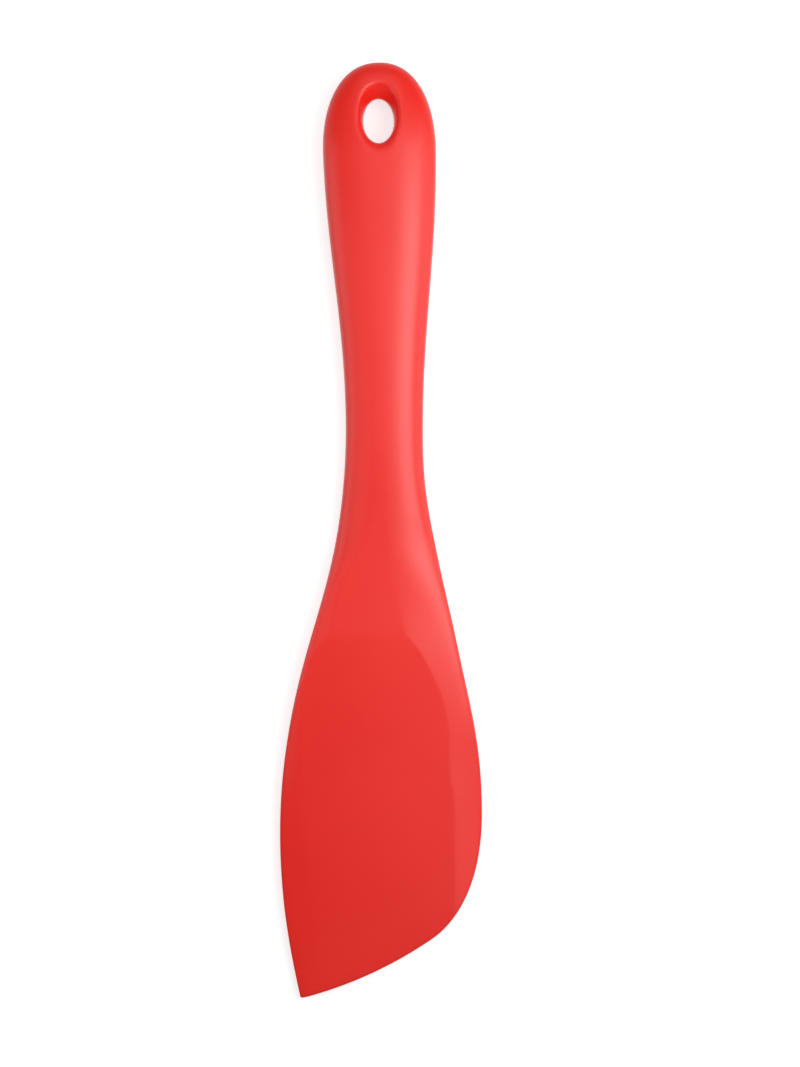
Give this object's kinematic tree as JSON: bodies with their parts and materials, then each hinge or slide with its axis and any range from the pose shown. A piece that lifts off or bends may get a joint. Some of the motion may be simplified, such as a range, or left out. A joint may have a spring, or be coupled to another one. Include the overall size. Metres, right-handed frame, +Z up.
{
  "type": "silicone spatula",
  "caption": "One-piece red silicone spatula: rounded handle with a hanging hole, slim neck, and a wedge blade with a slanted working edge.",
  "frame": {"origin": "middle of the bounding box in plan, on the level surface that the spatula lies on", "axes": "+Y along the handle to its rounded end with the hanging hole, +X to the blade's right edge as seen from the front, +Z up out of the front face"},
  "size_m": [0.0606, 0.2798, 0.0137],
  "materials": {
    "silicone": "satin",
    "core_steel": "satin"
  },
  "bodies": {
    "root": {"silicone_jacket": "silicone", "steel_core": "core_steel"}
  },
  "joints": []
}
